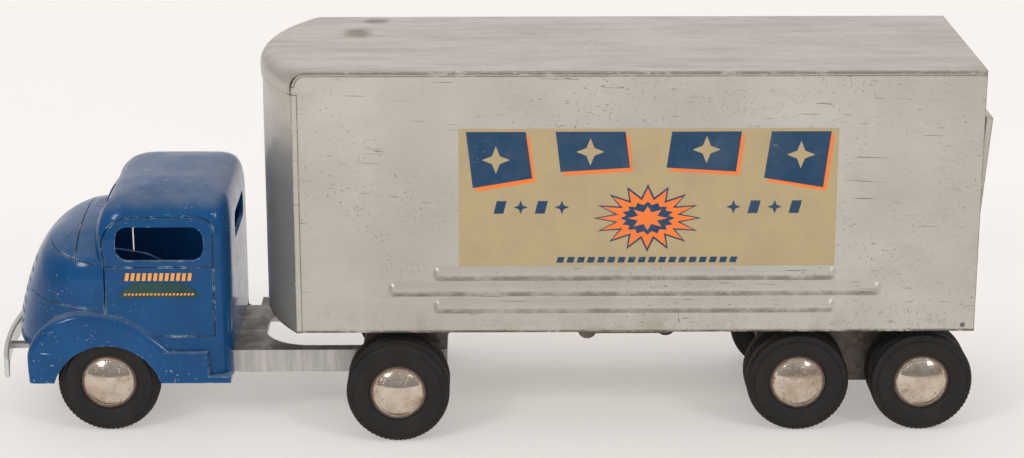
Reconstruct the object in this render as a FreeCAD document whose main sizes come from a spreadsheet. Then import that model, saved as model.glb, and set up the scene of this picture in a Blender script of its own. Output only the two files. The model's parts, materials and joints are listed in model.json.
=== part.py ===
import FreeCAD, Part
import math
import os
import Sketcher

# Toy articulated box-van truck, in millimetres.
# +X points to the rear, +Z up, and the object's left side faces -Y. The origin is on the floor,
# under the middle of the bounding box. Unless a comment says otherwise, stations along the truck
# are measured from the kingpin, which stands over the drive axle.

DIMENSIONS = (
    ("kingpin_x", -53.87),
    ("axle_height", 31.75),
    ("axle_radius", 2.5),
    ("run_clearance", 0.05),
    ("front_axle_x", -180.5),
    ("bogie_front_x", 248.3),
    ("bogie_rear_x", 325.3),
    ("front_face_y", 69.0),
    ("drive_face_y", 90.0),
    ("bogie_face_y", 73.3),
    ("tyre_radius", 31.75),
    ("tyre_width", 16.0),
    ("dual_pitch", 19.2),
    ("rim_radius", 17.0),
    ("hubcap_radius", 16.0),
    ("cap_rise", 1.8),
    ("sheet_gauge", 1.0),
    ("van_front", -62.0),
    ("van_rear", 354.7),
    ("van_half_width", 78.5),
    ("van_bottom", 68.0),
    ("van_top", 232.4),
    ("nose_bulge", 23.0),
    ("roof_roll", 9.0),
    ("roof_seam", 218.4),
    ("nose_flange", 3.5),
    ("flange_proud", 0.6),
    ("floor_bottom", 69.0),
    ("rib_height", 6.9),
    ("rib_proud", 1.2),
    ("hinge_x", 347.4),
    ("hinge_z", 72.0),
    ("hinge_pin_radius", 1.25),
    ("gate_height", 131.0),
    ("gate_angle", 4.4),
    ("header_face_x", 350.2),
    ("header_bottom", 205.0),
    ("latch_y", -60.0),
    ("latch_z", 212.5),
    ("stem_radius", 1.5),
    ("kingpin_radius", 4.0),
    ("coupler_bottom", 66.2),
    ("fifth_wheel_top", 66.0),
    ("rail_outer", 53.0),
    ("rail_inner", 44.0),
    ("rail_bottom", 33.6),
    ("frame_top", 48.0),
    ("frame_plate", 4.0),
    ("frame_seam", -41.0),
    ("cutout_rear", -23.0),
    ("bogie_half_width", 36.0),
    ("landing_x", 118.0),
    ("landing_z", 57.0),
    ("landing_length", 50.0),
    ("landing_pin_radius", 1.5),
    ("landing_wheel_radius", 6.5),
    ("cab_back", -103.0),
    ("cab_bottom", 33.0),
    ("cab_wall", 2.5),
    ("cab_half_width", 68.0),
    ("fender_face_y", 71.8),
    ("bumper_front", -252.0),
    ("bumper_bottom", 36.0),
    ("bumper_height", 12.0),
    ("bumper_half_length", 69.0),
    ("bumper_gauge", 3.6),
    ("bumper_sweep", 7.4),
)

RIVET_SPOTS = ((-48, 18), (58, 18), (245, 22), (287, 22), (329, 22))
SCREW_SPOTS = ((-208, 25), (-126, 25))
RIVET_RADIUS = 1.5
# The side ribs: height of the middle, front end, rear end.
SIDE_RIBS = ((106.0, 24.5, 266.0), (96.0, -3.0, 294.0), (85.0, 24.5, 266.0))
# The side sheet's rounded top front corner: where it leaves the top edge, and a point on the way.
SIDE_CORNER = (-51.5, -58.6, 228.8)
CAP_SEAT = -3.5
CAP_SKIRT = 2.8
SCREW_RADIUS = 1.5
CROSS_BARS = (-214.0, -132.0)
ROW_POLES = 40
FENDER_ROUND = 6.0


class Dim:
    """A length: its value, and the expression over the spreadsheet's cells that gives it."""

    def __init__(self, value, text):
        self.value = float(value)
        self.text = text

    def __add__(self, other):
        other = dim(other)
        return Dim(self.value + other.value, f"({self.text} + {other.text})")

    def __sub__(self, other):
        other = dim(other)
        return Dim(self.value - other.value, f"({self.text} - {other.text})")

    def __mul__(self, other):
        other = dim(other)
        return Dim(self.value * other.value, f"({self.text} * {other.text})")

    def __neg__(self):
        return self * -1

    def __radd__(self, other):
        return dim(other) + self

    def __rsub__(self, other):
        return dim(other) - self

    __rmul__ = __mul__


def dim(number):
    """Wraps a plain number, so that it can be added to a spreadsheet value."""
    return number if isinstance(number, Dim) else Dim(number, f"({number:g})")


class Sheet:
    """The driving dimensions, read as attributes."""

    def __init__(self, doc):
        self.table = doc.addObject("Spreadsheet::Sheet", "Dimensions")
        for row, (name, value) in enumerate(DIMENSIONS, 1):
            self.table.set(f"A{row}", name)
            self.table.set(f"B{row}", str(value))
            self.table.setAlias(f"B{row}", name)
            setattr(self, name, Dim(value, f"Dimensions.{name}"))


DOC = FreeCAD.newDocument("box_van_truck")
D = Sheet(DOC)
SUB_PARTS = []


def vector(x, y=0.0, z=0.0):
    return FreeCAD.Vector(x, y, z)


def put(thing, path, value):
    """Sets a property from a value, and binds it when the value comes from the sheet."""
    thing.setExpression(path, dim(value).text)


def place(thing, x=0.0, y=0.0, z=0.0, axis=(0, 0, 1), angle=0.0):
    """Places a sub-part; x is measured from the kingpin."""
    turn = FreeCAD.Rotation(vector(*axis), dim(angle).value)
    thing.Placement = FreeCAD.Placement(vector(0), turn)
    put(thing, "Placement.Base.x", D.kingpin_x + x)
    put(thing, "Placement.Base.y", y)
    put(thing, "Placement.Base.z", z)


def new_body(label):
    body = DOC.addObject("PartDesign::Body", label)
    body.Label = label
    SUB_PARTS.append(body)
    place(body)
    return body


def new_feature(label, shape, **placing):
    """A sub-part whose free-form shape is computed here from the sheet's values."""
    feature = DOC.addObject("Part::Feature", label)
    feature.Label = label
    feature.Shape = shape
    place(feature, **placing)
    SUB_PARTS.append(feature)
    return feature


def sketch(body, plane, offset=0.0):
    """A sketch on one of the body's origin planes, moved along the plane's normal by offset."""
    sk = body.newObject("Sketcher::SketchObject", f"{body.Name}_sketch")
    origin = [item for item in body.Origin.OriginFeatures if item.Role == plane][0]
    sk.AttachmentSupport = (origin, [""])
    sk.MapMode = "FlatFace"
    put(sk, "AttachmentOffset.Base.z", offset)
    return sk


def constrain(sk, kind, edge, point, value):
    """Holds one coordinate of a point at a distance from the sketch's origin."""
    number = sk.addConstraint(Sketcher.Constraint(kind, -1, 1, edge, point, dim(value).value))
    if isinstance(value, Dim):
        sk.setExpression(f"Constraints[{number}]", value.text)


def outline(sk, *points):
    """A closed outline. A point is (u, v), or (u, v, mu, mv) where an arc leads on through (mu, mv)."""
    count = len(points)
    flat = [[dim(number).value for number in point] for point in points]
    first = sk.GeometryCount
    for i, here in enumerate(flat):
        start = vector(here[0], here[1])
        end = vector(*flat[(i + 1) % count][:2])
        if len(here) == 4:
            sk.addGeometry(Part.Arc(start, vector(here[2], here[3]), end))
        else:
            sk.addGeometry(Part.LineSegment(start, end))
    starts = []
    for i, here in enumerate(flat):
        at_start = (sk.getPoint(first + i, 1) - vector(here[0], here[1])).Length < 1e-6
        starts.append(1 if at_start else 2)
    for i, point in enumerate(points):
        after = (i + 1) % count
        ends = (first + i, 3 - starts[i], first + after, starts[after])
        sk.addConstraint(Sketcher.Constraint("Coincident", *ends))
        constrain(sk, "DistanceX", first + i, starts[i], point[0])
        constrain(sk, "DistanceY", first + i, starts[i], point[1])


def rectangle(sk, u0, v0, u1, v1):
    outline(sk, (u0, v0), (u1, v0), (u1, v1), (u0, v1))


def circle(sk, u, v, radius):
    centre = vector(dim(u).value, dim(v).value)
    edge = sk.addGeometry(Part.Circle(centre, vector(0, 0, 1), dim(radius).value))
    number = sk.addConstraint(Sketcher.Constraint("Radius", edge, dim(radius).value))
    if isinstance(radius, Dim):
        sk.setExpression(f"Constraints[{number}]", radius.text)
    constrain(sk, "DistanceX", edge, 3, u)
    constrain(sk, "DistanceY", edge, 3, v)


def pad(sk, length, both=False, reverse=False, taper=0.0):
    body = sk.getParentGeoFeatureGroup()
    feature = body.newObject("PartDesign::Pad", f"{body.Name}_pad")
    feature.Profile = sk
    feature.SideType = "Symmetric" if both else "One side"
    feature.Reversed = reverse
    feature.TaperAngle = taper
    put(feature, "Length", length)
    return feature


def pocket(sk, length):
    """Cuts both ways from the sketch, over length in all, so its direction can't miss the solid."""
    body = sk.getParentGeoFeatureGroup()
    feature = body.newObject("PartDesign::Pocket", f"{body.Name}_pocket")
    feature.Profile = sk
    feature.SideType = "Symmetric"
    put(feature, "Length", length)
    return feature


def revolve(sk, axis, angle=360.0):
    """Turns a profile about an origin axis of its body, or about a line of its sketch."""
    body = sk.getParentGeoFeatureGroup()
    feature = body.newObject("PartDesign::Revolution", f"{body.Name}_revolution")
    feature.Profile = sk
    feature.ReferenceAxis = (sk, [axis])
    feature.Midplane = angle < 360.0
    feature.Angle = angle
    return feature


def fillet(feature, radius, wanted):
    """Rounds the edges of a feature for which wanted(edge) is true."""
    DOC.recompute()
    body = feature.getParentGeoFeatureGroup()
    names = [f"Edge{i}" for i, edge in enumerate(feature.Shape.Edges, 1) if wanted(edge)]
    rounded = body.newObject("PartDesign::Fillet", f"{body.Name}_fillet")
    rounded.Base = (feature, names)
    rounded.Radius = radius
    return rounded


# Wheels. Their own frame has the axle along Y, with y = 0 at the outer tyre's outer face and
# the wheel inboard of it, so a left wheel is the same part turned half round.

def tyre(label):
    """Solid rubber tyre with round shoulders."""
    body = new_body(label)
    sk = sketch(body, "XY_Plane")
    edge = D.tyre_radius
    width = D.tyre_width
    shoulder = D.tyre_radius.value - 1.15
    back = -D.tyre_width.value
    outline(sk, (D.rim_radius, -2.8, 21.0, -0.5), (25.0, 0.0), (27.0, -0.25, shoulder, -2.0),
            (edge, -4.4), (edge, 4.4 - width, shoulder, back + 2.0), (27.0, 0.25 - width),
            (25.0, -width, 21.0, back + 0.5), (D.rim_radius, 2.8 - width))
    revolve(sk, "V_Axis")
    return body


def rim(label, width):
    """Wheel disc: a ring that carries the tyre, a web, and a hub bored for the axle."""
    body = new_body(label)
    sk = sketch(body, "XY_Plane")
    bore = D.axle_radius + D.run_clearance
    ring = D.rim_radius - 2.0
    middle = width * -0.5
    outer = -3.5
    inner = -width
    outline(sk, (bore, -6.0), (6.0, -6.0), (6.0, middle + 1.5), (ring, middle + 1.5),
            (ring, outer), (D.rim_radius, outer), (D.rim_radius, inner), (ring, inner),
            (ring, middle - 1.5), (6.0, middle - 1.5), (6.0, inner - 1.4), (bore, inner - 1.4))
    revolve(sk, "V_Axis")
    return body


def dome_middle(edge, rise):
    """A point halfway along the arc that goes from (0, rise) to (edge, CAP_SEAT), centred on the axis."""
    depth = rise - CAP_SEAT
    radius = (edge ** 2 + depth ** 2) / (2 * depth)
    lean = 0.5 * math.asin(edge / radius)
    return radius * math.sin(lean), rise - radius * (1 - math.cos(lean))


def hubcap(label):
    """Domed cap with a skirt that springs into the rim's ring."""
    body = new_body(label)
    sk = sketch(body, "XY_Plane")
    ring = D.rim_radius - 2.0
    inside = D.rim_radius - 3.0
    rise = D.cap_rise - 1.0
    outer = dome_middle(D.hubcap_radius.value, D.cap_rise.value)
    inner = dome_middle(inside.value, rise.value)
    skirt = CAP_SEAT - CAP_SKIRT
    outline(sk, (0.0, D.cap_rise, *outer), (D.hubcap_radius, CAP_SEAT), (ring, CAP_SEAT),
            (ring, skirt), (inside, skirt), (inside, CAP_SEAT, *inner), (0.0, rise))
    for arc in (0, 5):
        sk.addConstraint(Sketcher.Constraint("PointOnObject", arc, 3, -2))
    revolve(sk, "V_Axis")
    return body


def axle(label, face, station):
    """Axle with a head at each end, just inside the hubcaps."""
    body = new_body(label)
    sk = sketch(body, "XY_Plane")
    tip = face - 4.2
    head = 3.7
    outline(sk, (0.0, -tip), (head, -tip), (head, 1.5 - tip), (D.axle_radius, 1.5 - tip),
            (D.axle_radius, tip - 1.5), (head, tip - 1.5), (head, tip), (0.0, tip))
    revolve(sk, "V_Axis")
    place(body, x=station, z=D.axle_height)


def wheel_set(name, station, face, dual):
    """Both wheels of an axle, each with its tyres, wheel disc and hubcap."""
    width = dual * D.dual_pitch.value + D.tyre_width.value
    tyres = (("outer_tyre", dim(0.0)), ("inner_tyre", D.dual_pitch)) if dual else (("tyre", dim(0.0)),)
    for side, sign in (("left", -1), ("right", 1)):
        spot = {"x": station, "z": D.axle_height, "angle": 90 - 90 * sign}
        for tyre_name, inboard in tyres:
            place(tyre(f"{name}_{side}_{tyre_name}"), y=(face - inboard) * sign, **spot)
        place(rim(f"{name}_{side}_rim", width), y=face * sign, **spot)
        place(hubcap(f"{name}_{side}_hubcap"), y=face * sign, **spot)


# Trailer

def nose_circle():
    """Centre station and radius of the nose's outer face in plan."""
    half = D.van_half_width.value + D.flange_proud.value
    bulge = D.nose_bulge.value
    radius = (half ** 2 + bulge ** 2) / (2 * bulge)
    return D.van_front.value - bulge + radius, radius


def side_panel(label, sign):
    """Flat side sheet with three ribs pressed outward and a rounded top front corner."""
    body = new_body(label)
    inside = D.van_half_width - D.sheet_gauge
    roof = D.van_top - D.sheet_gauge
    corner = D.roof_seam + 4.8
    leave, *through = SIDE_CORNER
    sk = sketch(body, "XZ_Plane", inside * -sign)
    outline(sk, (D.van_front, D.van_bottom), (D.van_rear, D.van_bottom), (D.van_rear, roof),
            (leave, roof, *through), (D.van_front, corner))
    circle(sk, D.hinge_x, D.hinge_z, D.hinge_pin_radius)
    pad(sk, D.sheet_gauge, reverse=sign > 0)
    for centre, front, rear in SIDE_RIBS:
        rib = sketch(body, "XZ_Plane", D.van_half_width * -sign)
        half = D.rib_height * 0.5
        round_end = half.value
        outline(rib, (front + round_end, centre - half), (rear - round_end, centre - half, rear, centre),
                (rear - round_end, centre + half), (front + round_end, centre + half, front, centre))
        pad(rib, D.rib_proud, reverse=sign > 0, taper=-45.0)


def roof_panel():
    """Flat roof whose front edge rolls down over the curved nose."""
    body = new_body("roof_panel")
    centre, radius = nose_circle()
    edge = centre - radius - D.sheet_gauge.value
    top = D.van_top
    under = D.van_top - D.sheet_gauge
    roll = D.roof_roll.value
    spring = top - roll
    lean = math.sqrt(0.5)
    thin = roll - D.sheet_gauge.value
    pivot_x = edge + roll
    pivot_z = D.van_top.value - roll
    sk = sketch(body, "XZ_Plane")
    outline(sk, (centre, under), (centre, top),
            (pivot_x, top, pivot_x - roll * lean, pivot_z + roll * lean), (edge, spring),
            (edge, D.roof_seam), (edge + 1.0, D.roof_seam),
            (edge + 1.0, spring, pivot_x - thin * lean, pivot_z + thin * lean), (pivot_x, under))
    line = sk.addGeometry(Part.LineSegment(vector(centre, 0), vector(centre, 300)), True)
    sk.addConstraint(Sketcher.Constraint("Vertical", line))
    revolve(sk, "Axis0", 84.0)
    plate = sketch(body, "XY_Plane", under)
    rectangle(plate, -40.0, -D.van_half_width, D.van_rear, D.van_half_width)
    pad(plate, D.sheet_gauge)
    for side in (-1, 1):
        trim = sketch(body, "XY_Plane")
        far = 150.0 * side
        rectangle(trim, -120.0, D.van_half_width * side, 120.0, far)
        pocket(trim, 600.0)


def nose_panel():
    """Curved front sheet, folded back round the side sheets' front edges."""
    body = new_body("nose_panel")
    front = D.van_front
    tip = D.van_front - D.nose_bulge
    half = D.van_half_width
    proud = half + D.flange_proud
    inside = half - D.sheet_gauge
    back = front + D.nose_flange
    sk = sketch(body, "XY_Plane", D.van_bottom)
    outline(sk, (back, -proud), (front, -proud, tip, 0.0), (front, proud), (back, proud),
            (back, half), (front, half), (front, inside, tip + 1.0, 0.0), (front, -inside),
            (front, -half), (back, -half))
    pad(sk, D.roof_seam - D.van_bottom)


def floor_panel():
    """Floor sheet, drilled for the coupler's and the bogie's rivets."""
    body = new_body("floor_panel")
    inside = D.van_half_width - D.sheet_gauge
    rear = D.hinge_x - 3.4
    tip = D.van_front - D.nose_bulge + 1.0
    sk = sketch(body, "XY_Plane", D.floor_bottom)
    outline(sk, (D.van_front, inside, tip, 0.0), (D.van_front, -inside), (rear, -inside), (rear, inside))
    for x, y in RIVET_SPOTS:
        for side in (-1, 1):
            circle(sk, x, y * side, RIVET_RADIUS)
    pad(sk, D.sheet_gauge)


def rear_header():
    """Angle across the rear under the roof, bored for the turn button."""
    body = new_body("rear_header")
    face = D.header_face_x
    inner = face - D.sheet_gauge
    roof = D.van_top - D.sheet_gauge
    shelf = D.header_bottom + D.sheet_gauge
    sk = sketch(body, "XZ_Plane")
    outline(sk, (face - 6.2, D.header_bottom), (face, D.header_bottom), (face, roof),
            (inner, roof), (inner, shelf), (face - 6.2, shelf))
    pad(sk, (D.van_half_width - D.sheet_gauge) * 2, both=True)
    hole = sketch(body, "YZ_Plane", face)
    circle(hole, D.latch_y, D.latch_z, D.stem_radius + D.run_clearance)
    pocket(hole, 6.0)


def latch_button():
    """Turn button on a stem that is peened over behind the header. Its frame is on the stem's axis."""
    body = new_body("latch_button")
    bar = sketch(body, "YZ_Plane", 0.5)
    outline(bar, (-4.0, -3.2), (10.0, -3.2, 13.2, 0.0), (10.0, 3.2), (-4.0, 3.2, -7.2, 0.0))
    pad(bar, 1.4)
    stem = sketch(body, "YZ_Plane", -1.6)
    circle(stem, 0.0, 0.0, D.stem_radius)
    pad(stem, 2.4)
    peen = sketch(body, "YZ_Plane", -2.8)
    circle(peen, 0.0, 0.0, 3.0)
    pad(peen, 1.3)
    place(body, x=D.header_face_x, y=D.latch_y, z=D.latch_z)


def tailgate():
    """Drop-down gate with folded edges. Its frame is on the hinge's axis, and it stands a little open."""
    body = new_body("tailgate")
    half = D.van_half_width - 2.0
    bore = D.hinge_pin_radius + D.run_clearance
    knuckle = bore + 1.0
    fold = 3.0
    sheet = sketch(body, "YZ_Plane", bore)
    rectangle(sheet, -half, 0.0, half, D.gate_height)
    pad(sheet, D.sheet_gauge)
    edges = sketch(body, "YZ_Plane", bore - fold)
    outline(edges, (-half, 6.0), (-half + 1.0, 6.0), (-half + 1.0, D.gate_height - 1.0),
            (half - 1.0, D.gate_height - 1.0), (half - 1.0, 6.0), (half, 6.0),
            (half, D.gate_height), (-half, D.gate_height))
    pad(edges, fold)
    tube = sketch(body, "XZ_Plane")
    circle(tube, 0.0, 0.0, knuckle)
    pad(tube, half * 2, both=True)
    hole = sketch(body, "XZ_Plane")
    circle(hole, 0.0, 0.0, bore)
    pocket(hole, half * 2 + 2.0)
    panel = sketch(body, "YZ_Plane", bore + D.sheet_gauge)
    rectangle(panel, -62.0, 18.0, 62.0, 116.0)
    rectangle(panel, -58.0, 22.0, 58.0, 112.0)
    pad(panel, 0.5)
    place(body, x=D.hinge_x, z=D.hinge_z, axis=(0, 1, 0), angle=D.gate_angle)


def tailgate_hinge_pin():
    """Pin through both side sheets and the gate's knuckle."""
    body = new_body("tailgate_hinge_pin")
    sk = sketch(body, "XZ_Plane")
    circle(sk, D.hinge_x, D.hinge_z, D.hinge_pin_radius)
    pad(sk, D.van_half_width * 2 + 0.8, both=True)


def coupler_plate():
    """Plate under the van's floor, round in front, bored for the kingpin."""
    body = new_body("coupler_plate")
    sk = sketch(body, "XY_Plane", D.coupler_bottom)
    outline(sk, (-50.0, 30.0, -80.0, 0.0), (-50.0, -30.0), (70.0, -30.0), (70.0, 30.0))
    circle(sk, 0.0, 0.0, D.kingpin_radius + D.run_clearance)
    for x, y in RIVET_SPOTS[:2]:
        for side in (-1, 1):
            circle(sk, x, y * side, RIVET_RADIUS)
    pad(sk, D.floor_bottom - D.coupler_bottom)


def kingpin():
    """Loose pin that lifts out of the fifth-wheel plate with the trailer."""
    body = new_body("kingpin")
    bottom = D.frame_top + 3.0
    top = D.floor_bottom - 0.3
    sk = sketch(body, "XZ_Plane")
    outline(sk, (0.0, bottom), (2.8, bottom), (D.kingpin_radius, bottom + 1.2),
            (D.kingpin_radius, top), (0.0, top))
    revolve(sk, "V_Axis")


def bogie_frame():
    """Channel under the floor, with an axle hole near each end of its side plates."""
    body = new_body("bogie_frame")
    front = D.bogie_front_x
    rear = D.bogie_rear_x
    sk = sketch(body, "XZ_Plane")
    outline(sk, (front - 16.0, D.floor_bottom), (front - 16.0, 50.0), (front - 6.0, 25.0),
            (front + 6.0, 20.5), (rear - 6.0, 20.5), (rear + 6.0, 25.0), (rear + 16.0, 50.0),
            (rear + 16.0, D.floor_bottom))
    circle(sk, front, D.axle_height, D.axle_radius)
    circle(sk, rear, D.axle_height, D.axle_radius)
    pad(sk, D.bogie_half_width * 2, both=True)
    hollow = sketch(body, "YZ_Plane", D.bogie_front_x)
    wall = D.bogie_half_width - 1.5
    rectangle(hollow, -wall, 10.0, wall, D.floor_bottom - 1.5)
    pocket(hollow, 400.0)
    holes = sketch(body, "XY_Plane", D.floor_bottom)
    for x, y in RIVET_SPOTS[2:]:
        for side in (-1, 1):
            circle(holes, x, y * side, RIVET_RADIUS)
    pocket(holes, 6.0)


def headed_pins(spots, shank, head, levels):
    """A group of pins with a flat head at each end. levels are four heights, from below up."""
    solids = []
    for x, y in spots:
        for side in (-1, 1):
            spot = vector(x, y * side, levels[0])
            pin = Part.makeCylinder(shank, levels[3] - levels[0], spot)
            for low, high in (levels[:2], levels[2:]):
                if high > low:
                    flange = Part.makeCylinder(head, high - low, vector(x, y * side, low))
                    pin = pin.fuse(flange)
            solids.append(pin.removeSplitter())
    return solids


def trailer_rivets():
    """Rivets that clamp the coupler plate and the bogie to the floor."""
    top = D.floor_bottom.value + D.sheet_gauge.value
    coupler = (D.coupler_bottom.value - 1.0, D.coupler_bottom.value, top, top + 1.2)
    web = D.floor_bottom.value - 1.5
    bogie = (web - 1.0, web, top, top + 1.2)
    solids = headed_pins(RIVET_SPOTS[:2], RIVET_RADIUS, 2.6, coupler)
    solids += headed_pins(RIVET_SPOTS[2:], RIVET_RADIUS, 2.6, bogie)
    new_feature("trailer_rivets", Part.makeCompound(solids))


# Landing gear

def landing_bracket():
    """Two rounded ears on a web under the floor."""
    body = new_body("landing_bracket")
    sk = sketch(body, "XZ_Plane")
    outline(sk, (-8.0, D.floor_bottom), (-6.0, D.landing_z, 0.0, D.landing_z - 6.0),
            (6.0, D.landing_z), (8.0, D.floor_bottom))
    circle(sk, 0.0, D.landing_z, D.landing_pin_radius)
    pad(sk, 83.0, both=True)
    gap = sketch(body, "YZ_Plane")
    rectangle(gap, -40.0, 30.0, 40.0, D.floor_bottom - 1.2)
    pocket(gap, 60.0)
    place(body, x=D.landing_x)


def landing_pivot_pin():
    body = new_body("landing_pivot_pin")
    sk = sketch(body, "XZ_Plane")
    circle(sk, 0.0, D.landing_z, D.landing_pin_radius)
    pad(sk, 85.0, both=True)
    place(body, x=D.landing_x)


def landing_legs():
    """Folding leg frame. Its frame is on the pivot's axis, and it lies folded to the rear."""
    body = new_body("landing_legs")
    sk = sketch(body, "XZ_Plane")
    length = D.landing_length
    outline(sk, (0.0, -3.5), (length, -3.5, length + 3.5, 0.0), (length, 3.5), (0.0, 3.5, -3.5, 0.0))
    circle(sk, 0.0, 0.0, D.landing_pin_radius + D.run_clearance)
    circle(sk, length, 0.0, D.landing_pin_radius)
    pad(sk, 78.0, both=True)
    gap = sketch(body, "YZ_Plane")
    rectangle(gap, -37.5, -5.0, 37.5, 2.0)
    pocket(gap, 200.0)
    ends = sketch(body, "XY_Plane")
    rectangle(ends, -8.0, -37.5, 8.0, 37.5)
    rectangle(ends, 38.0, -37.5, length + 8.0, 37.5)
    pocket(ends, 12.0)
    place(body, x=D.landing_x, z=D.landing_z)


def landing_axle():
    """Small axle; its wheels are pressed on, and it turns in the legs."""
    body = new_body("landing_axle")
    sk = sketch(body, "XZ_Plane")
    circle(sk, 0.0, 0.0, D.landing_pin_radius - D.run_clearance)
    pad(sk, 81.0, both=True)
    place(body, x=D.landing_x + D.landing_length, z=D.landing_z)


def landing_wheel(label, sign):
    body = new_body(label)
    sk = sketch(body, "XY_Plane")
    bore = D.landing_pin_radius - D.run_clearance
    rim_edge = D.landing_wheel_radius - 1.0
    outline(sk, (bore, -4.0), (rim_edge, -4.0), (D.landing_wheel_radius, -3.0),
            (D.landing_wheel_radius, 3.0), (rim_edge, 4.0), (bore, 4.0))
    revolve(sk, "V_Axis")
    place(body, x=D.landing_x + D.landing_length, y=31.5 * sign, z=D.landing_z)


# Tractor

def chassis_frame():
    """Cast frame: a plate with side rails, a narrow front and a U-shaped cut-out at the rear."""
    body = new_body("chassis_frame")
    top = D.frame_top
    inner = D.rail_inner
    outer = D.rail_outer
    narrow = 36.0
    front = -224.0
    rail_front = -118.0
    notch = -94.0
    corner = 30.0
    round_x = -56.0
    round_y = D.rail_inner.value - corner
    mid = corner * math.sqrt(0.5)
    plate = sketch(body, "XY_Plane", top - D.frame_plate)
    outline(plate, (front, -narrow), (rail_front, -narrow), (rail_front, -outer), (D.frame_seam, -outer),
            (D.frame_seam, -inner), (round_x, -inner, round_x - mid, -round_y - mid),
            (round_x - corner, -round_y), (round_x - corner, round_y, round_x - mid, round_y + mid),
            (round_x, inner),
            (D.frame_seam, inner), (D.frame_seam, outer), (notch, outer), (notch, narrow),
            (front, narrow))
    for x, y in SCREW_SPOTS:
        for side in (-1, 1):
            circle(plate, x, y * side, SCREW_RADIUS)
    pad(plate, D.frame_plate)
    rails = sketch(body, "XY_Plane", D.rail_bottom)
    rectangle(rails, rail_front, -outer, D.frame_seam, -inner)
    pad(rails, D.frame_top - D.rail_bottom)
    right = sketch(body, "XY_Plane", D.rail_bottom)
    rectangle(right, notch, inner, D.frame_seam, outer)
    pad(right, D.frame_top - D.rail_bottom)
    for offset in (-36.0, 33.0):
        cheek = sketch(body, "XZ_Plane", offset)
        x = D.front_axle_x
        outline(cheek, (x - 20.0, 46.0), (x - 9.0, 26.0), (x + 9.0, 26.0), (x + 20.0, 46.0))
        circle(cheek, x, D.axle_height, D.axle_radius)
        pad(cheek, 3.0)


def rear_axle_bracket():
    """Continues the rails behind the frame's seam and carries the drive axle."""
    body = new_body("rear_axle_bracket")
    low = D.rail_bottom
    sk = sketch(body, "XZ_Plane")
    outline(sk, (D.frame_seam, low), (-12.0, low), (-9.0, 26.0), (9.0, 26.0), (12.0, low),
            (30.0, 37.0), (30.0, D.frame_top), (D.frame_seam, D.frame_top))
    circle(sk, 0.0, D.axle_height, D.axle_radius)
    pad(sk, D.rail_outer * 2, both=True)
    under = sketch(body, "YZ_Plane")
    rectangle(under, -D.rail_inner, 10.0, D.rail_inner, D.frame_top - D.frame_plate)
    pocket(under, 300.0)
    gap = sketch(body, "XY_Plane", D.frame_top)
    rectangle(gap, D.frame_seam - 5.0, -D.rail_inner, D.cutout_rear, D.rail_inner)
    pocket(gap, 30.0)


def fifth_wheel_plate():
    """Tapered channel on the rear bracket; its top is bored for the kingpin."""
    body = new_body("fifth_wheel_plate")
    sk = sketch(body, "XZ_Plane")
    outline(sk, (-23.0, D.frame_top), (26.0, D.frame_top), (19.0, D.fifth_wheel_top),
            (-17.0, D.fifth_wheel_top))
    pad(sk, 80.0, both=True)
    inside = sketch(body, "YZ_Plane")
    rectangle(inside, -38.5, D.frame_top - 2.0, 38.5, D.fifth_wheel_top - 1.5)
    pocket(inside, 200.0)
    hole = sketch(body, "XY_Plane", D.fifth_wheel_top)
    circle(hole, 0.0, 0.0, D.kingpin_radius + D.run_clearance)
    pocket(hole, 8.0)


def bumper_back(y):
    """Station of the bumper's rear face at a distance y from the middle."""
    sweep = D.bumper_sweep.value
    radius = (D.bumper_half_length.value ** 2 + sweep ** 2) / (2 * sweep)
    return D.bumper_front.value + D.bumper_gauge.value + radius - math.sqrt(radius ** 2 - y ** 2)


def front_bumper():
    """Bar curved in plan, with rounded edges."""
    body = new_body("front_bumper")
    front = D.bumper_front
    back = D.bumper_front + D.bumper_gauge
    half = D.bumper_half_length
    sk = sketch(body, "XY_Plane", D.bumper_bottom)
    outline(sk, (front + D.bumper_sweep, -half, front, 0.0), (front + D.bumper_sweep, half),
            (back + D.bumper_sweep, half, back, 0.0), (back + D.bumper_sweep, -half))
    bar = pad(sk, D.bumper_height)
    fillet(bar, 1.5, lambda edge: edge.BoundBox.ZLength > 5.0 or edge.BoundBox.YLength > 50.0)


def bumper_brackets():
    """Cross strap under the frame's front, with an arm out to the bumper on each side."""
    body = new_body("bumper_brackets")
    gauge = 3.0
    wide, narrow = 28.0, 22.0
    tip, root = bumper_back(wide), bumper_back(narrow)
    rear, strap = -212.0, -222.0
    sk = sketch(body, "XY_Plane", D.frame_top - D.frame_plate - gauge)
    outline(sk, (tip, -wide), (rear, -wide), (rear, wide), (tip, wide), (root, narrow),
            (strap, narrow), (strap, -narrow), (root, -narrow))
    pad(sk, gauge)


def cab_screws():
    """Screws up through the frame's plate into the cab's cross bars."""
    low = D.frame_top.value - D.frame_plate.value
    levels = (low - 1.6, low, low + 7.4, low + 7.4)
    solids = []
    for screw in headed_pins(SCREW_SPOTS, SCREW_RADIUS, 3.0, levels):
        middle = screw.BoundBox.Center
        slot = Part.makeBox(8.0, 0.8, 0.8, vector(middle.x - 4.0, middle.y - 0.4, low - 1.6))
        solids.append(screw.cut(slot))
    new_feature("cab_screws", Part.makeCompound(solids))


# Cab casting. Its lofts rise through level sections: (height, front, half width).

HOOD_SECTIONS = (
    (30, -240, 68), (52, -245, 68), (68, -241.5, 68), (84, -237, 67.7), (98, -232, 66.8),
    (107, -227.5, 65), (114, -221.5, 60), (120, -213.5, 50), (124.5, -205, 37), (127.6, -194, 20))

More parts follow.
